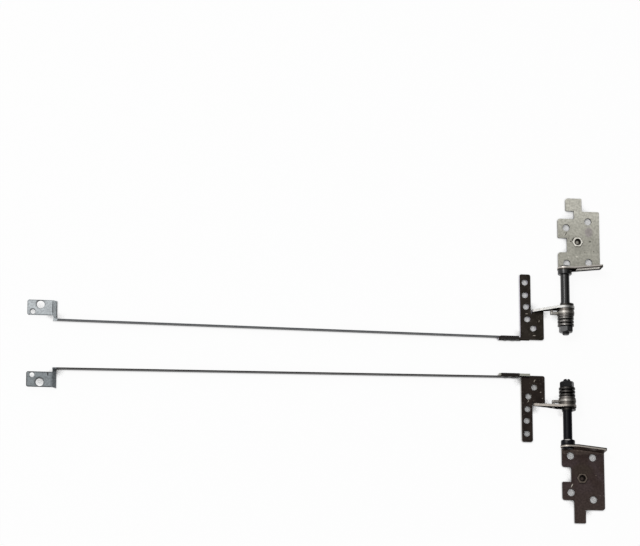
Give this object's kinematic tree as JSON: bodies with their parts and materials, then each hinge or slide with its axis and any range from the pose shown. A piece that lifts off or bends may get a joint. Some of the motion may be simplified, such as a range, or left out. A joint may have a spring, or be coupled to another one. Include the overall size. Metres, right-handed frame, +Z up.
{
  "type": "laptop hinge pair",
  "caption": "Pair of mirrored friction hinges for a laptop screen, with base brackets, spring-loaded shafts, screen brackets and long thin screen rails.",
  "frame": {"origin": "middle of the bounding box of the pair, on the table they lie on", "axes": "+X from the rails' feet towards the base brackets, +Y towards the left hinge, +Z up"},
  "size_m": [0.2528, 0.1456, 0.0085],
  "materials": {
    "left_base_steel": "satin nickel-plated sheet",
    "right_base_steel": "dark satin-plated sheet in shade",
    "left_clinch_steel": "bright plated",
    "right_clinch_steel": "dull plated",
    "left_shaft_steel": "black oxide, oiled",
    "right_shaft_steel": "black oxide, oiled",
    "left_screen_steel": "black oxide, satin",
    "right_screen_steel": "black oxide, satin",
    "left_rail_steel": "grey plated strip",
    "right_rail_steel": "dark grey plated strip",
    "rivet_steel": "plated",
    "washer_steel": "oiled spring steel",
    "hook_steel": "oiled spring steel",
    "spring_steel": "dark oiled spring steel",
    "nut_steel": "black oxide"
  },
  "bodies": {
    "base_side": {"left_base_bracket": "left_base_steel", "left_clinch_nut": "left_clinch_steel", "left_shaft": "left_shaft_steel", "left_stop_cam": "washer_steel", "left_inner_washer": "washer_steel", "left_outer_washer": "washer_steel", "left_pressure_washer": "washer_steel", "left_disc_spring_1": "spring_steel", "left_disc_spring_2": "spring_steel", "left_disc_spring_3": "spring_steel", "left_disc_spring_4": "spring_steel", "left_disc_spring_5": "spring_steel", "left_disc_spring_6": "spring_steel", "left_lock_nut": "nut_steel", "right_base_bracket": "right_base_steel", "right_clinch_nut": "right_clinch_steel", "right_shaft": "right_shaft_steel", "right_stop_cam": "washer_steel", "right_inner_washer": "washer_steel", "right_outer_washer": "washer_steel", "right_pressure_washer": "washer_steel", "right_disc_spring_1": "spring_steel", "right_disc_spring_2": "spring_steel", "right_disc_spring_3": "spring_steel", "right_disc_spring_4": "spring_steel", "right_disc_spring_5": "spring_steel", "right_disc_spring_6": "spring_steel", "right_lock_nut": "nut_steel"},
    "left_screen_side": {"left_screen_bracket": "left_screen_steel", "left_hook_plate": "hook_steel", "left_rail": "left_rail_steel", "left_rail_rivets": "rivet_steel"},
    "right_screen_side": {"right_screen_bracket": "right_screen_steel", "right_hook_plate": "hook_steel", "right_rail": "right_rail_steel", "right_rail_rivets": "rivet_steel"}
  },
  "joints": [
    {"name": "left_hinge", "type": "hinge", "parent": "base_side", "child": "left_screen_side", "pos_m": [0.1096, 0.02205, 0.0045], "axis": [0, 1, 0], "range_deg": [0, 180]},
    {"name": "right_hinge", "type": "hinge", "parent": "base_side", "child": "right_screen_side", "pos_m": [0.1096, -0.02205, 0.0045], "axis": [0, 1, 0], "range_deg": [0, 180]}
  ]
}
